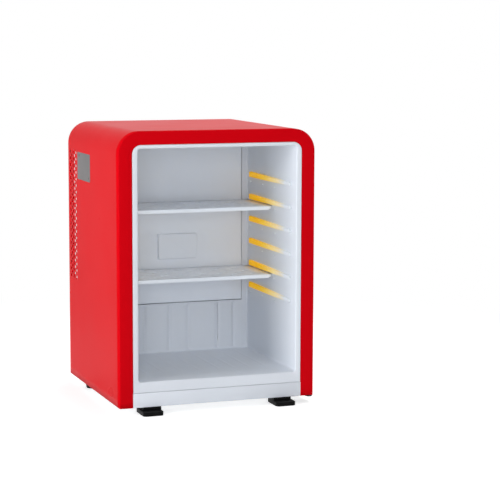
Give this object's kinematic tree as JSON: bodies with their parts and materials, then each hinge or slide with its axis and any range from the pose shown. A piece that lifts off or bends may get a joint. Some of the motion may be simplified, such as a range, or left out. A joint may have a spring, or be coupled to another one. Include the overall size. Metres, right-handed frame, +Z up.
{
  "type": "minibar fridge",
  "caption": "Freestanding hotel minibar fridge cabinet: rounded red shell, open front, sliding shelves on side rails, evaporator cover and absorption cooling unit at the rear.",
  "frame": {"origin": "on the floor, under the middle of the outline", "axes": "+X to the right as seen from the open front, +Y to the rear, +Z up"},
  "size_m": [0.4026, 0.4, 0.55],
  "materials": {
    "red_paint": "gloss paint on sheet steel",
    "liner_plastic": "vacuum-formed, satin",
    "trim_plastic": "moulded, satin",
    "cover_plastic": "moulded, satin",
    "shelf_plastic": "moulded, satin",
    "rail_amber": "moulded, satin",
    "black_plastic": "moulded, fine grain",
    "box_plastic": "moulded, fine grain",
    "foam": "open foam",
    "galvanised_steel": "galvanised sheet",
    "screw_steel": "zinc plated",
    "bare_aluminium": "mill finish",
    "bare_plate": "matt, bare",
    "black_steel": "black enamel on steel tube"
  },
  "bodies": {
    "cabinet": {"outer_wrap": "red_paint", "front_frame": "red_paint", "inner_liner": "liner_plastic", "plinth": "trim_plastic", "foam_insulation": "foam", "back_plate": "galvanised_steel", "base_plate": "galvanised_steel", "left_front_foot": "black_plastic", "right_front_foot": "black_plastic", "rear_feet": "black_plastic", "evaporator_cover": "cover_plastic", "access_lid": "cover_plastic", "evaporator_fins": "bare_aluminium", "evaporator_plug": "foam", "unit_plate": "galvanised_steel", "unit_screws": "screw_steel", "boiler_can": "galvanised_steel", "boiler_strap": "screw_steel", "condenser_pipe": "black_steel", "condenser_fins": "bare_aluminium", "gas_return_pipe": "black_steel", "absorber_coil": "black_steel", "absorber_vessel": "black_steel", "vessel_saddles": "galvanised_steel", "liquid_heat_exchanger": "black_steel", "drain_tube": "shelf_plastic", "drip_cup": "black_plastic", "control_box": "box_plastic", "control_cover": "box_plastic", "power_inlet": "black_plastic", "rating_plate": "bare_plate", "lower_hinge_plate": "black_steel", "left_rail_1": "rail_amber", "left_rail_2": "rail_amber", "left_rail_3": "rail_amber", "left_rail_4": "rail_amber", "left_rail_5": "rail_amber", "left_rail_6": "rail_amber", "right_rail_1": "rail_amber", "right_rail_2": "rail_amber", "right_rail_3": "rail_amber", "right_rail_4": "rail_amber", "right_rail_5": "rail_amber", "right_rail_6": "rail_amber"},
    "upper_shelf": {"upper_shelf": "shelf_plastic"},
    "lower_shelf": {"lower_shelf": "shelf_plastic"},
    "thermostat_knob": {"thermostat_knob": "black_plastic"}
  },
  "joints": [
    {"name": "upper_shelf_slide", "type": "slide", "parent": "cabinet", "child": "upper_shelf", "axis": [0, -1, 0], "range_m": [0, 0.12]},
    {"name": "lower_shelf_slide", "type": "slide", "parent": "cabinet", "child": "lower_shelf", "axis": [0, -1, 0], "range_m": [0, 0.12]},
    {"name": "thermostat_turn", "type": "hinge", "parent": "cabinet", "child": "thermostat_knob", "pos_m": [-0.127, 0.182, 0.037], "axis": [0, -1, 0], "range_deg": [0, 270]}
  ]
}
